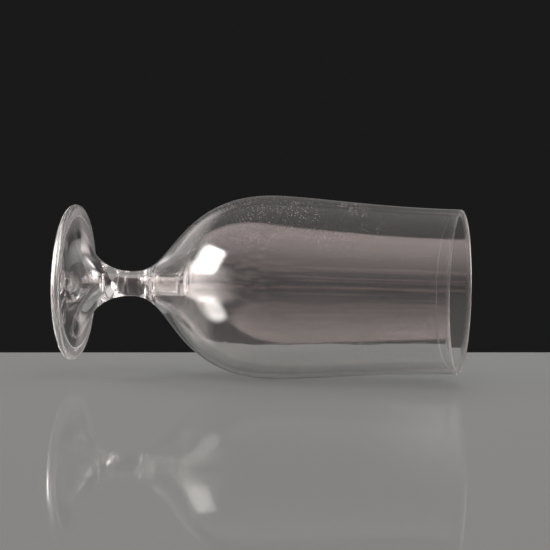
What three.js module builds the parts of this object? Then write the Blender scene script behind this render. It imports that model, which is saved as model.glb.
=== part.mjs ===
// A clear plastic goblet in two mouldings: a tulip bowl, and a hollow foot and solid stem in one.
// A spigot on top of the stem is pushed into a blind socket, in a boss that stands up inside the bowl.
// Millimetres, +Z up. Each piece is turned about the goblet's own axis, with height 0 on the foot's
// standing ring. The whole goblet is then tipped over to lie on its belly with its axis level, +X running
// from the foot to the mouth.
import * as THREE from 'three';

// Foot
const FOOT_RADIUS = 31.8;
const FOOT_EDGE_THICKNESS = 2.9;
const FOOT_SLOPE = THREE.MathUtils.degToRad(5);
const FOOT_SPREAD = 20;
const RING_WIDTH = 3.2;
const RING_DEPTH = 0.9;
const RING_BEVEL = 0.8;
const HOLLOW_DEPTH = 13;
const HOLLOW_END_RADIUS = 2.4;
const HOLLOW_END_BEVEL = 0.8;

// Stem
const WAIST_RADIUS = 5.05;
const WAIST_HEIGHT = 25;
const WAIST_FALL = 10.2;
const WAIST_RISE = 4;

// Joint of stem and bowl
const SEAM_HEIGHT = 33.5;
const SEAM_RADIUS = 7.7;
const FLARE_ANGLE = THREE.MathUtils.degToRad(34);
const FLARE_RUN = 3;
const SPIGOT_RADIUS = 2.9;
const SPIGOT_LENGTH = 9.8;
const SPIGOT_BEVEL = 0.6;
const FIT_GAP = 0.3;

// Bowl
const RIM_HEIGHT = 158;
const RIM_RADIUS = 33.1;
const RIM_WALL = 1.2;
const RIM_RUN = 30;
const BELLY_HEIGHT = 83;
const BELLY_RADIUS = 37.1;
const BELLY_WALL = 1.5;
const BELLY_RISE = 14;
const SHOULDER_RUN = 12;
const SHOULDER_RISE = 33;
const INNER_SHOULDER_RISE = 32;
const INNER_SHOULDER_RUN = 10.5;
const NECK_WALL = 1.8;

// Boss round the socket, and the groove between it and the neck's wall
const BOSS_WALL = 1.4;
const BOSS_WEB = 2.9;
const BOSS_BEVEL = 0.6;
const GROOVE_START = 3;
const GROOVE_PULL = 1.8;

// Fineness of the turned surfaces
const FACETS = 48;
const LONG_STEPS = 14;
const SHORT_STEPS = 8;
const ROUND_STEPS = 6;

const CLEAR_PLASTIC = { color: 0xd9d4d1, roughness: 0.08, metalness: 0 };

/** A point of a turned outline, by its distance from the axis and its height. */
function at(radius, height) {
  return new THREE.Vector2(radius, height);
}

/** A cubic curve from start to end, pulled towards two handles. */
function bend(start, startHandle, endHandle, end, steps) {
  return new THREE.CubicBezierCurve(start, startHandle, endHandle, end).getPoints(steps);
}

/** A half circle from below its centre, round the outside, to above it. */
function roundEdge(centreRadius, centreHeight, edgeRadius) {
  const arc = new THREE.EllipseCurve(
    centreRadius, centreHeight, edgeRadius, edgeRadius, -Math.PI / 2, Math.PI / 2,
  );
  return arc.getPoints(ROUND_STEPS);
}

/** A half circle over the top, from outside to inside. */
function roundTop(centreRadius, centreHeight, edgeRadius) {
  const arc = new THREE.EllipseCurve(
    centreRadius, centreHeight, edgeRadius, edgeRadius, 0, Math.PI,
  );
  return arc.getPoints(ROUND_STEPS);
}

/** The outline without points that repeat the one before them. */
function withoutRepeats(outline) {
  return outline.filter((point, i) => i === 0 || point.distanceTo(outline[i - 1]) > 1e-6);
}

/** A solid turned about +Z, with the middle of a facet towards +X, the side that it comes to lie on. */
function turned(outline) {
  const geometry = new THREE.LatheGeometry(
    withoutRepeats(outline), FACETS, Math.PI / FACETS, 2 * Math.PI,
  );
  return geometry.rotateX(Math.PI / 2);
}

/** A named piece of clear plastic. */
function piece(name, geometry) {
  const mesh = new THREE.Mesh(geometry, new THREE.MeshStandardMaterial(CLEAR_PLASTIC));
  mesh.name = name;
  return mesh;
}

/** The underside's hollow, from its blunt end near the stem out to the standing ring. */
function hollowOutline() {
  const ringInner = FOOT_RADIUS - FOOT_EDGE_THICKNESS / 2 - RING_WIDTH;
  const roof = at(ringInner - RING_BEVEL, RING_DEPTH);
  const end = at(HOLLOW_END_RADIUS + HOLLOW_END_BEVEL, HOLLOW_DEPTH - HOLLOW_END_BEVEL);
  const endHandle = at(end.x * 2, HOLLOW_DEPTH / 2);
  const roofHandle = at(roof.x / 2, RING_DEPTH * 2);
  return [
    at(0, HOLLOW_DEPTH),
    at(HOLLOW_END_RADIUS, HOLLOW_DEPTH),
    ...bend(end, endHandle, roofHandle, roof, SHORT_STEPS),
    at(ringInner, 0),
  ];
}

/** The foot's round edge and its top, drawn in to the waist and flared out again up to the seam. */
function footAndStemOutline() {
  const edge = FOOT_EDGE_THICKNESS / 2;
  const footTop = at(FOOT_RADIUS - edge, FOOT_EDGE_THICKNESS);
  const waist = at(WAIST_RADIUS, WAIST_HEIGHT);
  const seam = at(SEAM_RADIUS, SEAM_HEIGHT);
  const footHandle = at(
    footTop.x - FOOT_SPREAD * Math.cos(FOOT_SLOPE), footTop.y + FOOT_SPREAD * Math.sin(FOOT_SLOPE),
  );
  const flareHandle = at(
    seam.x - FLARE_RUN * Math.sin(FLARE_ANGLE), seam.y - FLARE_RUN * Math.cos(FLARE_ANGLE),
  );
  return [
    ...roundEdge(FOOT_RADIUS - edge, edge, edge),
    ...bend(footTop, footHandle, at(waist.x, waist.y - WAIST_FALL), waist, LONG_STEPS),
    ...bend(waist, at(waist.x, waist.y + WAIST_RISE), flareHandle, seam, SHORT_STEPS),
  ];
}

/** The foot and stem, with the spigot standing on the stem's flat top. */
function footStem() {
  const spigotTop = SEAM_HEIGHT + SPIGOT_LENGTH;
  return turned([
    ...hollowOutline(),
    ...footAndStemOutline(),
    at(SPIGOT_RADIUS, SEAM_HEIGHT),
    at(SPIGOT_RADIUS, spigotTop - SPIGOT_BEVEL),
    at(SPIGOT_RADIUS - SPIGOT_BEVEL, spigotTop),
    at(0, spigotTop),
  ]);
}

/** The outer edge of the bowl's face that meets the stem. */
function bowlSeam() {
  return at(SEAM_RADIUS + FIT_GAP * Math.tan(FLARE_ANGLE), SEAM_HEIGHT + FIT_GAP);
}

/** A point moved along the neck's slope, away from the foot. */
function alongNeck(point, distance) {
  const slope = at(Math.sin(FLARE_ANGLE), Math.cos(FLARE_ANGLE));
  return point.clone().addScaledVector(slope, distance);
}

/** The bowl's outside from the seam over the shoulder and the belly to just under the rim. */
function bowlOutside() {
  const seam = bowlSeam();
  const belly = at(BELLY_RADIUS, BELLY_HEIGHT);
  const rim = at(RIM_RADIUS, RIM_HEIGHT - RIM_WALL / 2);
  const shoulderHandle = alongNeck(seam, SHOULDER_RUN);
  return [
    ...bend(seam, shoulderHandle, at(belly.x, belly.y - SHOULDER_RISE), belly, LONG_STEPS),
    ...bend(belly, at(belly.x, belly.y + BELLY_RISE), at(rim.x, rim.y - RIM_RUN), rim, SHORT_STEPS),
  ];
}

/** The bowl's inside from just under the rim down the wall, round the groove and up to the boss's middle. */
function bowlInside(bossRadius, bossTop) {
  const inward = at(-Math.cos(FLARE_ANGLE), Math.sin(FLARE_ANGLE));
  const rim = at(RIM_RADIUS - RIM_WALL, RIM_HEIGHT - RIM_WALL / 2);
  const belly = at(BELLY_RADIUS - BELLY_WALL, BELLY_HEIGHT);
  const neck = alongNeck(bowlSeam(), GROOVE_START).addScaledVector(inward, NECK_WALL);
  const bossFoot = at(bossRadius, neck.y);
  const shoulderHandle = at(belly.x, belly.y - INNER_SHOULDER_RISE);
  const grooveHandle = at(bossFoot.x, bossFoot.y - GROOVE_PULL);
  return [
    ...bend(rim, at(rim.x, rim.y - RIM_RUN), at(belly.x, belly.y + BELLY_RISE), belly, SHORT_STEPS),
    ...bend(belly, shoulderHandle, alongNeck(neck, INNER_SHOULDER_RUN), neck, LONG_STEPS),
    ...bend(neck, alongNeck(neck, -GROOVE_PULL), grooveHandle, bossFoot, SHORT_STEPS),
    at(bossRadius, bossTop - BOSS_BEVEL),
    at(bossRadius - BOSS_BEVEL, bossTop),
    at(0, bossTop),
  ];
}

/** The bowl, with the boss whose socket takes the spigot with a gap all round. */
function bowl() {
  const socketRadius = SPIGOT_RADIUS + FIT_GAP;
  const socketEnd = SEAM_HEIGHT + SPIGOT_LENGTH + FIT_GAP;
  return turned([
    at(0, socketEnd),
    at(socketRadius - SPIGOT_BEVEL, socketEnd),
    at(socketRadius, socketEnd - SPIGOT_BEVEL),
    at(socketRadius, SEAM_HEIGHT + FIT_GAP),
    ...bowlOutside(),
    ...roundTop(RIM_RADIUS - RIM_WALL / 2, RIM_HEIGHT - RIM_WALL / 2, RIM_WALL / 2),
    ...bowlInside(socketRadius + BOSS_WALL, socketEnd + BOSS_WEB),
  ]);
}

const goblet = new THREE.Group();
goblet.add(piece('foot_stem', footStem()), piece('bowl', bowl()));
goblet.rotation.y = Math.PI / 2;
// The origin is on the surface that the belly's lowest facet lies on, under the middle of the length.
goblet.position.set(-RIM_HEIGHT / 2, 0, BELLY_RADIUS * Math.cos(Math.PI / FACETS));

export default goblet;
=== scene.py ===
"""A clear plastic goblet that lies on its side: smooth mouldings, finishes, table, light and camera.

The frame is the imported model's: metres, +X along the goblet's own axis from the foot to the mouth,
+Z up, the origin on the table under the middle of the goblet's length.
"""

import logging
import math
from dataclasses import dataclass, field
from enum import Enum
from typing import Any, Iterable

import bpy
import numpy as np
from mathutils import Matrix, Vector

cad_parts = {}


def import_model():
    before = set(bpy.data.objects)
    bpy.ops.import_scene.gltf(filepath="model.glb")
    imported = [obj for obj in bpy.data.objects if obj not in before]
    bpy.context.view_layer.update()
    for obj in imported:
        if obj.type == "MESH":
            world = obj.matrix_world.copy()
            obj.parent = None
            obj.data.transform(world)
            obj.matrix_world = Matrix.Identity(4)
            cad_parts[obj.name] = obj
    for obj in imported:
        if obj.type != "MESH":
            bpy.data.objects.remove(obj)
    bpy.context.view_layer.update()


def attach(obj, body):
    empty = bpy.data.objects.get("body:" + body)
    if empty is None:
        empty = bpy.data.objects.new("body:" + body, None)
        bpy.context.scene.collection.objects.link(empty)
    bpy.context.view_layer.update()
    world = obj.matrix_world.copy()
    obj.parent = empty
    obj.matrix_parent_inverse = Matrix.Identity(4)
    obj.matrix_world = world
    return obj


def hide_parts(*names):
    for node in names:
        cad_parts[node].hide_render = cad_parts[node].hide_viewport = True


LOG = logging.getLogger("goblet")
MM = 0.001
LENGTH = 158 * MM
BELLY_RADIUS = 37.1 * MM
FACETS_IN_FRAME = 48
AXIS_HEIGHT = BELLY_RADIUS * math.cos(math.pi / FACETS_IN_FRAME)
TABLE_TOP = AXIS_HEIGHT - BELLY_RADIUS
FROST = "frost"
WHITE = (1.0, 1.0, 1.0, 1.0)
WALL_BOUNCES = 24
MIRROR_BOUNCES = 10
SHARP_EDGE = math.radians(32)
# A rounded corner's handles go this share of the way to its tip.
CORNER_PULL = 0.55
CORNER_STEPS = 6
# How near counts as touching, and as the same point, in mm.
TOUCH = 0.01
SAME_POINT = 1e-6

Colour = tuple[float, float, float]
Scale = tuple[float, float, float]
Step = tuple[float, float]


class Body(Enum):
    """The bodies that the pieces ride on, each also the name of its one node."""

    BOWL = "bowl"
    FOOT_STEM = "foot_stem"


class Slot(Enum):
    """The record's material slots."""

    BOWL = "bowl_plastic"
    FOOT = "foot_plastic"


class Reach(Enum):
    """What a light works on."""

    ALL = "every surface"
    MIRRORED = "reflections in the goblet"
    MATT = "matt surfaces"


# Shader maths


class Wire:
    """A value in a node tree, with Python's operators standing for Math nodes."""

    def __init__(self, bench: "Bench", socket: bpy.types.NodeSocket) -> None:
        """Keeps the socket and the bench that makes further nodes."""
        self.bench = bench
        self.socket = socket

    def _math(self, operation: str, *values: Any) -> "Wire":
        """Adds one Math node.

        Args:
            operation: The node's operation.
            values: Its inputs in order, numbers or wires.

        Returns:
            The node's result.
        """
        settings = {"operation": operation}
        return self.bench.wire("ShaderNodeMath", settings, dict(enumerate(values)))

    def __add__(self, other: Any) -> "Wire":
        """The sum."""
        return self._math("ADD", self, other)

    __radd__ = __add__

    def __sub__(self, other: Any) -> "Wire":
        """The difference."""
        return self._math("SUBTRACT", self, other)

    def __rsub__(self, other: Any) -> "Wire":
        """The difference, the other way round."""
        return self._math("SUBTRACT", other, self)

    def __mul__(self, other: Any) -> "Wire":
        """The product."""
        return self._math("MULTIPLY", self, other)

    __rmul__ = __mul__

    def above(self, low: float, high: float) -> "Wire":
        """A smooth step from 0 at low to 1 at high.

        Args:
            low: Where the step starts.
            high: Where it ends.

        Returns:
            The step's value.
        """
        settings = {"interpolation_type": "SMOOTHSTEP"}
        sockets = {"Value": self, "From Min": low, "From Max": high}
        return self.bench.wire("ShaderNodeMapRange", settings, sockets)


class Bench:
    """Makes and links the nodes of one tree."""

    def __init__(self, tree: bpy.types.NodeTree) -> None:
        """Clears the tree."""
        self.tree = tree
        tree.nodes.clear()

    def add(
        self, kind: str, settings: dict[str, Any] | None = None, sockets: dict[Any, Any] | None = None
    ) -> bpy.types.Node:
        """Makes a node.

        Args:
            kind: The node's type.
            settings: Its properties, set first.
            sockets: Its inputs by name or number: wires, sockets or values.

        Returns:
            The node.
        """
        node = self.tree.nodes.new(kind)
        for name, value in (settings or {}).items():
            setattr(node, name, value)
        for key, value in (sockets or {}).items():
            source = value.socket if isinstance(value, Wire) else value
            if isinstance(source, bpy.types.NodeSocket):
                self.tree.links.new(source, node.inputs[key])
            else:
                node.inputs[key].default_value = source
        return node

    def wire(
        self,
        kind: str,
        settings: dict[str, Any] | None = None,
        sockets: dict[Any, Any] | None = None,
        output: Any = 0,
    ) -> Wire:
        """Makes a node and gives one of its outputs.

        Args:
            kind: The node's type.
            settings: Its properties.
            sockets: Its inputs.
            output: The output's name or number.

        Returns:
            The output as a wire.
        """
        return Wire(self, self.add(kind, settings, sockets).outputs[output])

    def place(self, scale: Scale) -> Wire:
        """Object coordinates, stretched.

        Args:
            scale: How many pattern lengths go into a metre along each axis.

        Returns:
            The coordinates.
        """
        coordinates = self.wire("ShaderNodeTexCoord", output="Object")
        return self.wire("ShaderNodeMapping", None, {"Vector": coordinates, "Scale": scale})

    def noise(self, scale: Scale, detail: float = 2.0) -> Wire:
        """Soft noise over the object.

        Args:
            scale: How many pattern lengths go into a metre along each axis.
            detail: How many finer layers it has.

        Returns:
            The noise, about 0 to 1.
        """
        sockets = {"Vector": self.place(scale), "Scale": 1.0, "Detail": detail}
        return self.wire("ShaderNodeTexNoise", None, sockets, "Fac")

    def specks(self, per_metre: float) -> Wire:
        """The distance from scattered points, in cells.

        Args:
            per_metre: How many cells go into a metre.

        Returns:
            The distance, 0 at each point.
        """
        sockets = {"Vector": self.place((per_metre,) * 3), "Scale": 1.0}
        return self.wire("ShaderNodeTexVoronoi", None, sockets, "Distance")


def new_material(name: str) -> tuple[bpy.types.Material, Bench]:
    """An empty material.

    Args:
        name: Its name.

    Returns:
        The material and the bench for its nodes.
    """
    material = bpy.data.materials.new(name)
    material.use_nodes = True
    return material, Bench(material.node_tree)


# Finishes


@dataclass(frozen=True)
class ClearPlastic:
    """Clear moulded plastic with faint flow ripples, smudges, fine rubs and dust.

    A scale is how many pattern lengths go into a metre along each axis, and a step is where a smooth
    step starts and ends.
    """

    name: str
    tint: Colour
    refraction: float = 1.57
    polish: float = 0.01
    smudge: float = 0.03
    smudge_scale: Scale = (38.0, 52.0, 52.0)
    smudge_step: Step = (0.50, 0.72)
    rub: float = 0.015
    rub_scale: Scale = (26.0, 900.0, 900.0)
    rub_step: Step = (0.62, 0.80)
    ripple: float = 0.12
    ripple_height: float = 0.6 * MM
    flow_scale: Scale = (16.0, 44.0, 44.0)
    draw: float = 0.08
    draw_scale: Scale = (24.0, 800.0, 800.0)
    frost: float = 0.0
    shadow: float = 0.89
    dust_colour: Colour = (0.62, 0.59, 0.56)
    dust_roughness: float = 0.9
    dust_cells: float = 850.0
    dust_grain_step: Step = (0.115, 0.23)
    dust_patch_scale: Scale = (60.0, 60.0, 60.0)
    dust_patch_step: Step = (0.36, 0.56)
    dust_start: Step = (-45.0 * MM, -20.0 * MM)
    dust_end: Step = (30.0 * MM, 60.0 * MM)
    dust_height: Step = (47.0 * MM, 58.0 * MM)

    def material(self) -> bpy.types.Material:
        """Builds the finish.

        Smudges are soft noise through a smooth step. Rubs are noise drawn out along the goblet's axis.
        Frost is where the mould left the surface matt, from the piece's own attribute. The ripple is slow
        noise with fine lines drawn out along the axis. Dust is the nearness to scattered points, kept where
        a coarse noise is high, along the middle of the bowl and on its upper side. Light between a lamp and
        a matt surface goes straight through, so that the shadow is as faint as a clear piece's.

        Returns:
            The material.
        """
        material, bench = new_material(self.name)
        smudges = bench.noise(self.smudge_scale, detail=4.0).above(*self.smudge_step)
        rubs = bench.noise(self.rub_scale, detail=3.0).above(*self.rub_step)
        matt = bench.wire("ShaderNodeAttribute", {"attribute_name": FROST}, output="Fac")
        roughness = self.polish + self.smudge * smudges + self.rub * rubs + self.frost * matt
        flow = bench.noise(self.flow_scale, detail=1.0) + self.draw * bench.noise(self.draw_scale)
        bump = bench.wire(
            "ShaderNodeBump",
            None,
            {"Strength": self.ripple, "Distance": self.ripple_height, "Height": flow},
        )
        plastic = bench.wire(
            "ShaderNodeBsdfPrincipled",
            {"distribution": "MULTI_GGX"},
            {
                "Base Color": (*self.tint, 1.0),
                "Roughness": roughness,
                "IOR": self.refraction,
                "Transmission Weight": 1.0,
                "Normal": bump,
            },
        )
        dusty = bench.wire(
            "ShaderNodeBsdfPrincipled",
            None,
            {"Base Color": (*self.dust_colour, 1.0), "Roughness": self.dust_roughness},
        )
        place = bench.add("ShaderNodeSeparateXYZ", None, {0: bench.place((1.0, 1.0, 1.0))})
        along, upper = (Wire(bench, place.outputs[name]) for name in "XZ")
        patches = bench.noise(self.dust_patch_scale, detail=3.0).above(*self.dust_patch_step)
        middle = along.above(*self.dust_start) * (1.0 - along.above(*self.dust_end))
        grains = 1.0 - bench.specks(self.dust_cells).above(*self.dust_grain_step)
        dust = grains * patches * middle * upper.above(*self.dust_height)
        mixed = bench.wire("ShaderNodeMixShader", None, {0: dust, 1: plastic, 2: dusty})
        path = bench.add("ShaderNodeLightPath")
        to_lamp = Wire(bench, path.outputs["Is Shadow Ray"]) + Wire(bench, path.outputs["Is Diffuse Ray"])
        through = bench.wire("ShaderNodeBsdfTransparent", None, {"Color": (*(self.shadow,) * 3, 1.0)})
        surface = bench.wire("ShaderNodeMixShader", None, {0: to_lamp, 1: mixed, 2: through})
        bench.add("ShaderNodeOutputMaterial", None, {"Surface": surface})
        return material


@dataclass(frozen=True)
class TableFinish:
    """A plain pale grey table with a faint even shine."""

    name: str = "table_pale"
    colour: Colour = (0.30, 0.333, 0.33)
    shine: float = 0.10
    shine_blur: float = 0.03

    def material(self) -> bpy.types.Material:
        """Builds the finish.

        Returns:
            The material.
        """
        material, bench = new_material(self.name)
        matt = bench.wire("ShaderNodeBsdfDiffuse", None, {"Color": (*self.colour, 1.0)})
        shine = bench.wire(
            "ShaderNodeBsdfGlossy", None, {"Color": WHITE, "Roughness": self.shine_blur}
        )
        mixed = bench.wire("ShaderNodeMixShader", None, {0: self.shine, 1: matt, 2: shine})
        bench.add("ShaderNodeOutputMaterial", None, {"Surface": mixed})
        return material


# Outlines and surfaces


def at(radius: float, height: float) -> np.ndarray:
    """A point of an outline, by its distance from the axis and its height over the standing ring, in mm."""
    return np.array([radius, height], float)


def bend(start: np.ndarray, pull: np.ndarray, draw: np.ndarray, end: np.ndarray, steps: int) -> np.ndarray:
    """A cubic curve: each point is the four corners weighted by the Bernstein polynomials of t.

    Args:
        start: The first point.
        pull: The handle of the first point.
        draw: The handle of the last point.
        end: The last point.
        steps: How many steps t takes from 0 to 1.

    Returns:
        The points, one row each.
    """
    t = np.linspace(0.0, 1.0, steps + 1)[:, None]
    s = 1.0 - t
    return s**3 * start + 3 * s**2 * t * pull + 3 * s * t**2 * draw + t**3 * end


def corner(before: np.ndarray, tip: np.ndarray, after: np.ndarray, size: float) -> np.ndarray:
    """A rounded corner: a curve between points a set way before and after the tip, drawn to the tip.

    Args:
        before: A point on the line that comes in.
        tip: The sharp corner.
        after: A point on the line that goes out.
        size: How far from the tip the rounding starts and ends.

    Returns:
        The points, one row each.
    """
    start = tip + (before - tip) * (size / np.linalg.norm(before - tip))
    end = tip + (after - tip) * (size / np.linalg.norm(after - tip))
    pull, draw = start + (tip - start) * CORNER_PULL, end + (tip - end) * CORNER_PULL
    return bend(start, pull, draw, end, CORNER_STEPS)


def arc(centre: np.ndarray, radius: float, first: float, last: float, steps: int) -> np.ndarray:
    """A circular arc: the centre plus the radius times the cosine and sine of the angle.

    Args:
        centre: The arc's centre.
        radius: Its radius.
        first: Its first angle in degrees, from outwards towards up.
        last: Its last angle.
        steps: How many steps it has.

    Returns:
        The points, one row each.
    """
    angle = np.radians(np.linspace(first, last, steps + 1))
    return centre + radius * np.column_stack([np.cos(angle), np.sin(angle)])


def joined(parts: Iterable[np.ndarray]) -> np.ndarray:
    """One outline from its parts, without points that repeat the one before.

    Args:
        parts: Points and runs of points in order.

    Returns:
        The outline, one row each.
    """
    points = np.vstack([np.atleast_2d(part) for part in parts])
    step = np.linalg.norm(np.diff(points, axis=0), axis=1)
    return points[np.concatenate([[True], step > SAME_POINT])]


def turned_piece(name: str, outline: np.ndarray, around: int, matt: np.ndarray) -> bpy.types.Object:
    """A closed solid turned about the goblet's axis.

    A point at radius r, height h and angle a lies at x = h - half the length, y = r sin a and
    z = the axis's height + r cos a. The outline starts and ends on the axis, where the rings close
    to single points.

    Args:
        name: The object's name.
        outline: The outline in mm.
        around: How many steps go round.
        matt: How matt the surface is at each of the outline's points, 0 to 1.

    Returns:
        The object, with smooth faces and sharp edges where the outline has corners.
    """
    angle = np.linspace(0.0, 2.0 * np.pi, around, endpoint=False)
    radius, height = (outline[1:-1] * MM).T
    x = np.repeat(height[:, None] - LENGTH / 2, around, axis=1)
    y = radius[:, None] * np.sin(angle)
    z = AXIS_HEIGHT + radius[:, None] * np.cos(angle)
    rings = np.stack([x, y, z], axis=-1).reshape(-1, 3)
    ends = np.array([[h * MM - LENGTH / 2, 0.0, AXIS_HEIGHT] for h in outline[[0, -1], 1]])
    points = np.vstack([rings, ends])

    rows = len(outline) - 2
    here = np.arange(around)
    there = (here + 1) % around
    base = (np.arange(rows - 1) * around)[:, None]
    quads = np.stack([base + here, base + there, base + around + there, base + around + here], axis=-1)
    first = np.stack([np.full(around, rows * around), there, here], axis=-1)
    top = (rows - 1) * around
    last = np.stack([np.full(around, rows * around + 1), top + here, top + there], axis=-1)
    faces = quads.reshape(-1, 4).tolist() + first.tolist() + last.tolist()

    mesh = bpy.data.meshes.new(name)
    mesh.from_pydata(points.tolist(), [], faces)
    if enclosed_volume(mesh) < 0:
        mesh.flip_normals()
    mesh.polygons.foreach_set("use_smooth", np.ones(len(mesh.polygons), bool))
    mesh.set_sharp_from_angle(angle=SHARP_EDGE)
    values = np.concatenate([np.repeat(matt[1:-1], around), matt[[0, -1]]])
    mesh.attributes.new(FROST, "FLOAT", "POINT").data.foreach_set("value", values.astype(np.float32))
    mesh.update()
    piece = bpy.data.objects.new(name, mesh)
    bpy.context.scene.collection.objects.link(piece)
    return piece


def enclosed_volume(mesh: bpy.types.Mesh) -> float:
    """The volume inside a mesh: a sixth of the sum of the triangles' triple products.

    Args:
        mesh: A closed mesh.

    Returns:
        The volume, negative if the faces point inwards.
    """
    mesh.calc_loop_triangles()
    points = np.empty(len(mesh.vertices) * 3)
    mesh.vertices.foreach_get("co", points)
    corners = np.empty(len(mesh.loop_triangles) * 3, np.int32)
    mesh.loop_triangles.foreach_get("vertices", corners)
    a, b, c = points.reshape(-1, 3)[corners.reshape(-1, 3)].transpose(1, 0, 2)
    return float(np.einsum("ij,ij->", a, np.cross(b, c)) / 6.0)


def dress(piece: bpy.types.Object, material: bpy.types.Material, body: Body) -> None:
    """Gives a piece its finish and puts it in its node's place.

    Args:
        piece: The new piece.
        material: Its finish.
        body: The body that it rides on, which has one node of the same name.
    """
    piece.data.materials.append(material)
    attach(piece, body.value)
    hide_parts(body.value)
    LOG.info("%s: %d faces, rides on %s", piece.name, len(piece.data.polygons), body.value)


# The goblet


@dataclass
class Joint:
    """Where the stem's spigot goes into the bowl, in mm."""

    seam_height: float = 33.5
    seam_radius: float = 7.7
    flare: float = math.radians(34)
    spigot_radius: float = 3.0
    spigot_length: float = 9.9
    fit: float = 0.08
    edge: float = 0.25
    foot_rounding: float = 0.2
    tip_rounding: float = 0.5

    def slope(self) -> np.ndarray:
        """The direction along the neck, away from the foot."""
        return at(math.sin(self.flare), math.cos(self.flare))


@dataclass
class FootStem:
    """The hollow foot, the stem and the spigot in one moulding, in mm."""

    joint: Joint
    radius: float = 31.8
    edge_thickness: float = 2.9
    slope: float = math.radians(5)
    spread: float = 20.0
    ring_width: float = 3.2
    ring_depth: float = 0.9
    ring_bevel: float = 0.8
    hollow_depth: float = 13.0
    hollow_end_radius: float = 2.4
    hollow_end_bevel: float = 0.8
    waist_radius: float = 5.05
    waist_height: float = 25.0
    waist_fall: float = 10.2
    waist_rise: float = 4.0
    flare_run: float = 3.0
    end_rounding: float = 0.6
    ring_rounding: float = 0.5
    hollow_matt: float = 0.03
    spigot_matt: float = 0.5
    matt_edge_share: float = 0.3
    matt_seam_margin: float = 0.5
    hollow_steps: int = 40
    edge_steps: int = 20
    top_steps: int = 48
    flare_steps: int = 20
    around: int = 160

    def ring_inner(self) -> float:
        """The inner radius of the standing ring."""
        return self.radius - self.edge_thickness / 2 - self.ring_width

    def hollow(self) -> np.ndarray:
        """The underside from the middle of the hollow's end out to the standing ring.

        Returns:
            The points, one row each.
        """
        ring_inner = self.ring_inner()
        roof = at(ring_inner - self.ring_bevel, self.ring_depth)
        end = at(self.hollow_end_radius + self.hollow_end_bevel, self.hollow_depth - self.hollow_end_bevel)
        pull = at(end[0] * 2, self.hollow_depth / 2)
        draw = at(roof[0] / 2, self.ring_depth * 2)
        flat = at(self.hollow_end_radius, self.hollow_depth)
        tip = at(ring_inner, 0.0)
        return joined([
            at(0.0, self.hollow_depth),
            corner(at(0.0, self.hollow_depth), flat, end, self.end_rounding),
            bend(end, pull, draw, roof, self.hollow_steps),
            corner(roof, tip, at(self.radius, 0.0), self.ring_rounding),
        ])

    def outside(self) -> np.ndarray:
        """The foot's round edge and its top, drawn in to the waist and flared out again to the seam.

        Returns:
            The points, one row each.
        """
        joint = self.joint
        edge = self.edge_thickness / 2
        foot_top = at(self.radius - edge, self.edge_thickness)
        waist = at(self.waist_radius, self.waist_height)
        seam = at(joint.seam_radius, joint.seam_height)
        pull = foot_top + self.spread * at(-math.cos(self.slope), math.sin(self.slope))
        draw = seam - self.flare_run * joint.slope()
        return joined([
            arc(at(self.radius - edge, edge), edge, -90, 90, self.edge_steps),
            bend(foot_top, pull, waist - at(0.0, self.waist_fall), waist, self.top_steps),
            bend(waist, waist + at(0.0, self.waist_rise), draw, seam, self.flare_steps)[:-1],
            corner(draw, seam, at(0.0, joint.seam_height), joint.edge),
        ])

    def build(self) -> bpy.types.Object:
        """Makes the moulding.

        Returns:
            The object.
        """
        joint = self.joint
        top = joint.seam_height + joint.spigot_length
        foot = at(joint.spigot_radius, joint.seam_height)
        tip = at(joint.spigot_radius, top)
        outline = joined([
            self.hollow(),
            self.outside(),
            corner(at(joint.seam_radius, joint.seam_height), foot, tip, joint.foot_rounding),
            corner(foot, tip, at(0.0, top), joint.tip_rounding),
            at(0.0, top),
        ])
        return turned_piece("foot_stem_moulding", outline, self.around, self.matt(outline))

    def matt(self, outline: np.ndarray) -> np.ndarray:
        """How matt the moulding is: most on the standing ring, a little in the hollow and on the spigot.

        Args:
            outline: The outline's points.

        Returns:
            A value for each point.
        """
        radius, height = outline.T
        order = np.arange(len(outline))
        ring_inner = self.ring_inner()
        edge_start = np.flatnonzero(radius > ring_inner)[0]
        low = height < self.edge_thickness * self.matt_edge_share
        ring = low & (radius > ring_inner - self.ring_bevel)
        seam_inner = self.joint.seam_radius - self.matt_seam_margin
        spigot = (height >= self.joint.seam_height - TOUCH) & (radius < seam_inner)
        return np.select([ring, spigot, order < edge_start], [1.0, self.spigot_matt, self.hollow_matt], 0.0)

    def dress(self, piece: bpy.types.Object) -> None:
        """Puts the clear finish on the moulding."""
        finish = ClearPlastic("foot_clear", tint=(0.965, 0.955, 0.95), ripple=0.06, frost=0.27)
        dress(piece, finish.material(), Body.FOOT_STEM)


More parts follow.
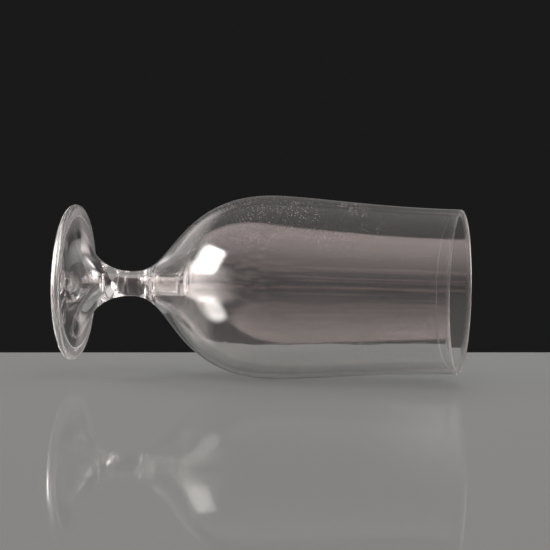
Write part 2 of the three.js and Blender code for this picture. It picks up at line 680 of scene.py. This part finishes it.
@dataclass
class Bowl:
    """The tulip bowl with its thin neck and the boss round the socket, in mm."""

    joint: Joint
    rim_radius: float = 33.1
    rim_wall: float = 1.2
    rim_run: float = 30.0
    rim_height: float = 158.0
    belly_height: float = 83.0
    belly_radius: float = 37.1
    belly_wall: float = 1.5
    belly_rise: float = 14.0
    shoulder_run: float = 12.0
    shoulder_rise: float = 33.0
    inner_shoulder_rise: float = 32.0
    inner_shoulder_run: float = 10.5
    neck_wall: float = 1.8
    groove_start: float = 3.0
    groove_pull: float = 1.8
    boss_wall: float = 1.5
    boss_web: float = 3.0
    boss_edge: float = 0.8
    socket_matt: float = 0.5
    rim_matt: float = 1.0
    shoulder_steps: int = 64
    wall_steps: int = 40
    groove_steps: int = 16
    rim_steps: int = 14
    around: int = 192

    def seam(self) -> np.ndarray:
        """The outer edge of the face that meets the stem."""
        joint = self.joint
        return at(joint.seam_radius + joint.fit * math.tan(joint.flare), joint.seam_height + joint.fit)

    def outside(self) -> np.ndarray:
        """The outside from the seam over the shoulder and the belly to just under the rim.

        Returns:
            The points, one row each.
        """
        joint = self.joint
        seam = self.seam()
        belly = at(self.belly_radius, self.belly_height)
        rim = at(self.rim_radius, self.rim_height - self.rim_wall / 2)
        pull = seam + self.shoulder_run * joint.slope()
        return joined([
            corner(at(0.0, seam[1]), seam, pull, joint.edge),
            bend(seam, pull, belly - at(0.0, self.shoulder_rise), belly, self.shoulder_steps)[1:],
            bend(
                belly,
                belly + at(0.0, self.belly_rise),
                rim - at(0.0, self.rim_run),
                rim,
                self.wall_steps,
            ),
        ])

    def inside(self, boss_top: float) -> np.ndarray:
        """The inside from just under the rim down the wall, round the groove and up to the boss's middle.

        Args:
            boss_top: How high the boss's top is.

        Returns:
            The points, one row each.
        """
        joint = self.joint
        slope = joint.slope()
        inward = at(-math.cos(joint.flare), math.sin(joint.flare))
        rim = at(self.rim_radius - self.rim_wall, self.rim_height - self.rim_wall / 2)
        belly = at(self.belly_radius - self.belly_wall, self.belly_height)
        neck = self.seam() + self.groove_start * slope + self.neck_wall * inward
        boss_foot = at(joint.spigot_radius + joint.fit + self.boss_wall, neck[1])
        boss_edge = at(boss_foot[0], boss_top)
        return joined([
            bend(
                rim,
                rim - at(0.0, self.rim_run),
                belly + at(0.0, self.belly_rise),
                belly,
                self.wall_steps,
            ),
            bend(
                belly,
                belly - at(0.0, self.inner_shoulder_rise),
                neck + self.inner_shoulder_run * slope,
                neck,
                self.shoulder_steps,
            ),
            bend(
                neck,
                neck - self.groove_pull * slope,
                boss_foot - at(0.0, self.groove_pull),
                boss_foot,
                self.groove_steps,
            ),
            corner(boss_foot, boss_edge, at(0.0, boss_top), self.boss_edge),
            at(0.0, boss_top),
        ])

    def build(self) -> bpy.types.Object:
        """Makes the moulding.

        Returns:
            The object.
        """
        joint = self.joint
        socket_radius = joint.spigot_radius + joint.fit
        socket_end = joint.seam_height + joint.spigot_length + joint.fit
        mouth = at(socket_radius, joint.seam_height + joint.fit)
        end = at(socket_radius, socket_end)
        rim_middle = at(self.rim_radius - self.rim_wall / 2, self.rim_height - self.rim_wall / 2)
        outline = joined([
            at(0.0, socket_end),
            corner(at(0.0, socket_end), end, mouth, joint.tip_rounding),
            corner(end, mouth, at(joint.seam_radius, mouth[1]), joint.foot_rounding),
            self.outside(),
            arc(rim_middle, self.rim_wall / 2, 0, 180, self.rim_steps),
            self.inside(socket_end + self.boss_web),
        ])
        radius, height = outline.T
        socket = (height < socket_end + TOUCH) & (radius < socket_radius + TOUCH)
        lip = height > self.rim_height - self.rim_wall / 2 - TOUCH
        matt = np.select([socket, lip], [self.socket_matt, self.rim_matt], 0.0)
        return turned_piece("bowl_moulding", outline, self.around, matt)

    def dress(self, piece: bpy.types.Object) -> None:
        """Puts the clear finish on the moulding."""
        finish = ClearPlastic("bowl_clear", tint=(0.98, 0.97, 0.965), frost=0.3)
        dress(piece, finish.material(), Body.BOWL)


# Camera, table and light


@dataclass(frozen=True)
class View:
    """The photograph's camera, found from the goblet's outline.

    Camera axes are right, down and forward. The foot's place is the middle of its standing ring.
    """

    image: float = 550.0
    focal: float = 976.9
    yaw: float = math.radians(3.05)
    tilt: float = math.radians(1.47)
    foot: tuple[float, float, float] = (-83.5 * MM, 2.87 * MM, 401.3 * MM)
    sensor: float = 36.0
    near: float = 10.0 * MM

    def turn(self) -> np.ndarray:
        """The matrix from the row frame to camera axes.

        The goblet's axis points right, a little down by the tilt and a little nearer by the yaw. The row
        frame's up is the camera's up, squared to the goblet's axis.

        Returns:
            A 3 by 3 matrix, its columns the row axes in camera axes.
        """
        axis = np.array([
            math.cos(self.yaw) * math.cos(self.tilt), math.sin(self.tilt), -math.sin(self.yaw)
        ])
        axis /= np.linalg.norm(axis)
        up = np.array([0.0, -1.0, 0.0])
        up -= axis * (up @ axis)
        up /= np.linalg.norm(up)
        return np.column_stack([axis, np.cross(up, axis), up])

    def place(self) -> np.ndarray:
        """Where the camera stands.

        Returns:
            The point in the row frame.
        """
        ring = np.array([-LENGTH / 2, 0.0, AXIS_HEIGHT])
        return ring - self.turn().T @ np.array(self.foot)

    def on_table(self, across: float, down: float) -> np.ndarray:
        """The point of the table that a pixel shows: the camera's place plus the ray to the table's height.

        Args:
            across: The pixel from the left.
            down: The pixel from the top.

        Returns:
            The point in the row frame.
        """
        centre = self.image / 2
        ray = self.turn().T @ np.array([across - centre, down - centre, self.focal])
        place = self.place()
        return place + ray * ((TABLE_TOP - place[2]) / ray[2])

    def build(self) -> bpy.types.Object:
        """Makes the camera the scene's camera.

        Returns:
            The camera.
        """
        data = bpy.data.cameras.new("photo_camera")
        data.sensor_width = self.sensor
        data.lens = self.focal / self.image * self.sensor
        data.clip_start = self.near
        camera = bpy.data.objects.new("photo_camera", data)
        right, down, forward = self.turn()
        matrix = np.eye(4)
        matrix[:3, :3] = np.column_stack([right, -down, -forward])
        matrix[:3, 3] = self.place()
        camera.matrix_world = Matrix(matrix.tolist())
        bpy.context.scene.collection.objects.link(camera)
        bpy.context.scene.camera = camera
        return camera


@dataclass
class Table:
    """A plain pale table top whose far edge runs level through the picture."""

    view: View
    edge_row: float = 352.0
    reach: float = 3.0
    depth: float = 1.2
    back_strip: float = 0.3
    rounding: float = 3.0 * MM
    drop: float = 60.0 * MM
    round_steps: int = 8
    along_steps: int = 12
    finish: TableFinish = field(default_factory=TableFinish)

    def build(self) -> bpy.types.Object:
        """Makes the top: a profile, flat, rounded over and down at the far edge, carried along that edge.

        Returns:
            The object.
        """
        left = self.view.on_table(0.0, self.edge_row)
        right = self.view.on_table(self.view.image, self.edge_row)
        along = (right - left) / np.linalg.norm(right - left)
        away = np.array([-along[1], along[0], 0.0])
        middle = (left + right) / 2
        angle = np.linspace(0.0, np.pi / 2, self.round_steps + 1)
        over = self.rounding * (np.sin(angle) - 1.0)
        back = np.concatenate([[-self.depth, -self.back_strip], over, [0.0]])
        height = np.concatenate([[0.0, 0.0], self.rounding * (np.cos(angle) - 1.0), [-self.drop]])
        run = np.linspace(-self.reach, self.reach, self.along_steps + 1)
        grid = (
            middle
            + run[:, None, None] * along
            + back[None, :, None] * away
            + height[None, :, None] * np.array([0.0, 0.0, 1.0])
        )
        rows, columns = grid.shape[:2]
        corner_index = np.arange(rows * columns).reshape(rows, columns)
        faces = np.stack(
            [corner_index[:-1, :-1], corner_index[1:, :-1], corner_index[1:, 1:], corner_index[:-1, 1:]],
            axis=-1,
        ).reshape(-1, 4)
        mesh = bpy.data.meshes.new("table")
        mesh.from_pydata(grid.reshape(-1, 3).tolist(), [], faces.tolist())
        mesh.polygons.foreach_set("use_smooth", np.ones(len(faces), bool))
        mesh.set_sharp_from_angle(angle=SHARP_EDGE)
        mesh.materials.append(self.finish.material())
        table = bpy.data.objects.new("table", mesh)
        bpy.context.scene.collection.objects.link(table)
        return table


@dataclass(frozen=True)
class SoftPanel:
    """A flat light that faces the goblet.

    Directions are from the goblet's middle: the azimuth from the camera's side towards the mouth, and
    the height above the level, both in degrees. The fade is the share of the panel over which it fades out
    towards its left, right, lower and upper edge.
    """

    name: str
    azimuth: float
    height: float
    distance: float
    size: tuple[float, float]
    radiance: float
    colour: Colour
    fade: tuple[float, float, float, float]
    reach: Reach = Reach.ALL

    def soften(self, light: bpy.types.Light) -> None:
        """Fades the panel out towards its edges: smooth steps, multiplied together.

        A panel that is only mirrored shines where the line of sight has met a mirroring surface on its way.

        Args:
            light: The light's data.
        """
        light.use_nodes = True
        bench = Bench(light.node_tree)
        across = bench.wire("ShaderNodeTexCoord", output="UV")
        sides = bench.add("ShaderNodeSeparateXYZ", None, {0: across})
        strength: Any = 1.0
        for socket, low, high in zip(sides.outputs, self.fade[::2], self.fade[1::2]):
            side = Wire(bench, socket)
            strength = side.above(0.0, low) * (1.0 - side).above(0.0, high) * strength
        if self.reach is Reach.MIRRORED:
            mirrors = bench.wire("ShaderNodeLightPath", output="Glossy Depth")
            strength = mirrors.above(0.0, 1.0) * strength
        glow = bench.wire("ShaderNodeEmission", None, {"Strength": strength})
        bench.add("ShaderNodeOutputLight", None, {"Surface": glow})

    def build(self, goblet: bpy.types.Collection) -> bpy.types.Object:
        """Makes the light. Its power is the radiance times pi times its area.

        Args:
            goblet: The pieces that a panel that is only mirrored works on.

        Returns:
            The light.
        """
        azimuth, height = math.radians(self.azimuth), math.radians(self.height)
        direction = Vector((
            math.sin(azimuth) * math.cos(height), -math.cos(azimuth) * math.cos(height), math.sin(height)
        ))
        data = bpy.data.lights.new(self.name, "AREA")
        data.shape = "RECTANGLE"
        data.size, data.size_y = self.size
        data.energy = self.radiance * math.pi * self.size[0] * self.size[1]
        data.color = self.colour
        self.soften(data)
        light = bpy.data.objects.new(self.name, data)
        if self.reach is Reach.MIRRORED:
            light.light_linking.receiver_collection = goblet
        light.visible_diffuse = self.reach is not Reach.MIRRORED
        light.visible_glossy = light.visible_transmission = self.reach is not Reach.MATT
        light.location = Vector((0.0, 0.0, AXIS_HEIGHT)) + direction * self.distance
        light.rotation_euler = direction.to_track_quat("Z", "Y").to_euler()
        bpy.context.scene.collection.objects.link(light)
        return light


WINDOW_WHITE = (1.0, 0.97, 0.95)
WALL_PINK = (1.0, 0.90, 0.87)
PANEL_PINK = (1.0, 0.83, 0.81)
BACK_WHITE = (1.0, 0.95, 0.93)
FAR_PINK = (1.0, 0.92, 0.90)
TOP_WHITE = (1.0, 0.98, 0.97)
EVEN_FADE = (0.45, 0.45, 0.45, 0.45)
PANELS = (
    SoftPanel(
        "window", azimuth=-70.0, height=26.0, distance=0.9, size=(0.66, 0.56), radiance=26.0,
        colour=WINDOW_WHITE, fade=(0.45, 0.25, 0.40, 0.25), reach=Reach.MIRRORED,
    ),
    SoftPanel(
        "left_wall", azimuth=-61.0, height=8.0, distance=0.7, size=(1.02, 0.50), radiance=7.8,
        colour=WALL_PINK, fade=(0.08, 0.95, 0.60, 0.30), reach=Reach.MIRRORED,
    ),
    SoftPanel(
        "front_panel", azimuth=-24.0, height=48.0, distance=1.2, size=(3.5, 1.76), radiance=1.6,
        colour=PANEL_PINK, fade=(0.10, 0.25, 0.85, 0.05),
    ),
    SoftPanel(
        "right_wall", azimuth=63.0, height=8.0, distance=0.7, size=(1.02, 0.50), radiance=7.8,
        colour=WALL_PINK, fade=(0.95, 0.08, 0.60, 0.30), reach=Reach.MIRRORED,
    ),
    SoftPanel(
        "right_window", azimuth=75.0, height=29.0, distance=0.9, size=(0.58, 0.64), radiance=26.0,
        colour=WINDOW_WHITE, fade=EVEN_FADE, reach=Reach.MIRRORED,
    ),
    SoftPanel(
        "left_back", azimuth=-125.0, height=26.0, distance=0.9, size=(1.0, 0.8), radiance=0.7,
        colour=BACK_WHITE, fade=(0.30, 0.05, 0.30, 0.30), reach=Reach.MIRRORED,
    ),
    SoftPanel(
        "right_back", azimuth=125.0, height=26.0, distance=0.9, size=(1.0, 0.8), radiance=1.3,
        colour=BACK_WHITE, fade=(0.05, 0.30, 0.30, 0.30), reach=Reach.MIRRORED,
    ),
    SoftPanel(
        "far_panel", azimuth=164.0, height=2.0, distance=0.9, size=(0.42, 0.42), radiance=0.8,
        colour=FAR_PINK, fade=EVEN_FADE, reach=Reach.MIRRORED,
    ),
    SoftPanel(
        "top_light", azimuth=165.0, height=62.0, distance=1.0, size=(0.9, 0.8), radiance=4.6,
        colour=TOP_WHITE, fade=EVEN_FADE, reach=Reach.MATT,
    ),
)


@dataclass(frozen=True)
class Surroundings:
    """A dark backdrop behind the table, a hazy ceiling, and a dim room on the camera's side.

    The camera sees the backdrop all round, and through the goblet a slightly paler one on the far side.
    Reflections have a pale haze on the far side and the room on the near side.
    """

    backdrop: Colour = (0.0103, 0.0103, 0.0103)
    paler: Colour = (0.040, 0.038, 0.038)
    haze: Colour = (0.190, 0.183, 0.180)
    ceiling: Colour = (0.20, 0.19, 0.187)
    room: Colour = (0.12, 0.11, 0.11)
    shelves: Colour = (0.62, 0.47, 0.44)
    shelf_scale: Scale = (5.0, 0.8, 13.0)
    shelf_step: Step = (0.40, 0.70)
    front_step: Step = (0.10, 0.45)
    high_step: Step = (0.10, 1.05)

    def build(self) -> None:
        """Sets the world: smooth steps from haze to ceiling by height, and from those to the room along Y.

        The room's shelves are uneven bands: noise drawn out along the level, through a smooth step.
        """
        world = bpy.data.worlds.new("studio")
        bpy.context.scene.world = world
        world.use_nodes = True
        bench = Bench(world.node_tree)
        direction = bench.wire("ShaderNodeTexCoord", output="Generated")
        sides = bench.add("ShaderNodeSeparateXYZ", None, {0: direction})
        front = (-1.0 * Wire(bench, sides.outputs["Y"])).above(*self.front_step)
        high = Wire(bench, sides.outputs["Z"]).above(*self.high_step)
        path = bench.add("ShaderNodeLightPath")
        straight = Wire(bench, path.outputs["Is Camera Ray"])
        through = Wire(bench, path.outputs["Is Transmission Ray"])
        dark, paler, haze, ceiling, plain, shelves = (
            bench.wire("ShaderNodeBackground", None, {"Color": (*colour, 1.0)})
            for colour in (self.backdrop, self.paler, self.haze, self.ceiling, self.room, self.shelves)
        )
        level = bench.wire("ShaderNodeMapping", None, {"Vector": direction, "Scale": self.shelf_scale})
        sockets = {"Vector": level, "Scale": 1.0, "Detail": 3.0}
        bands = bench.wire("ShaderNodeTexNoise", None, sockets, "Fac")
        filled = bands.above(*self.shelf_step)
        room = bench.wire("ShaderNodeMixShader", None, {0: filled, 1: plain, 2: shelves})
        glow = bench.wire("ShaderNodeMixShader", None, {0: high, 1: haze, 2: ceiling})
        back = bench.wire("ShaderNodeMixShader", None, {0: through, 1: glow, 2: paler})
        around = bench.wire("ShaderNodeMixShader", None, {0: front, 1: back, 2: room})
        mixed = bench.wire("ShaderNodeMixShader", None, {0: straight, 1: around, 2: dark})
        bench.add("ShaderNodeOutputWorld", None, {"Surface": mixed})


def light_paths() -> None:
    """Lets light through the many walls of the mouldings, without bright streaks thrown on the table."""
    cycles = bpy.context.scene.cycles
    cycles.max_bounces = cycles.transmission_bounces = WALL_BOUNCES
    cycles.glossy_bounces = MIRROR_BOUNCES
    cycles.caustics_reflective = False
    cycles.caustics_refractive = False


def main() -> None:
    """Builds the goblet in its frame and the studio around it."""
    logging.basicConfig(level=logging.INFO, format="%(name)s: %(message)s")
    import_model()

    joint = Joint()
    goblet = bpy.data.collections.new("goblet")
    for moulding in (FootStem(joint), Bowl(joint)):
        piece = moulding.build()
        moulding.dress(piece)
        goblet.objects.link(piece)

    view = View()
    view.build()
    Table(view).build()
    Surroundings().build()
    for panel in PANELS:
        LOG.info("light %s", panel.build(goblet).name)
    light_paths()
    bpy.context.scene.view_settings.view_transform = "Standard"


if __name__ == "__main__":
    main()
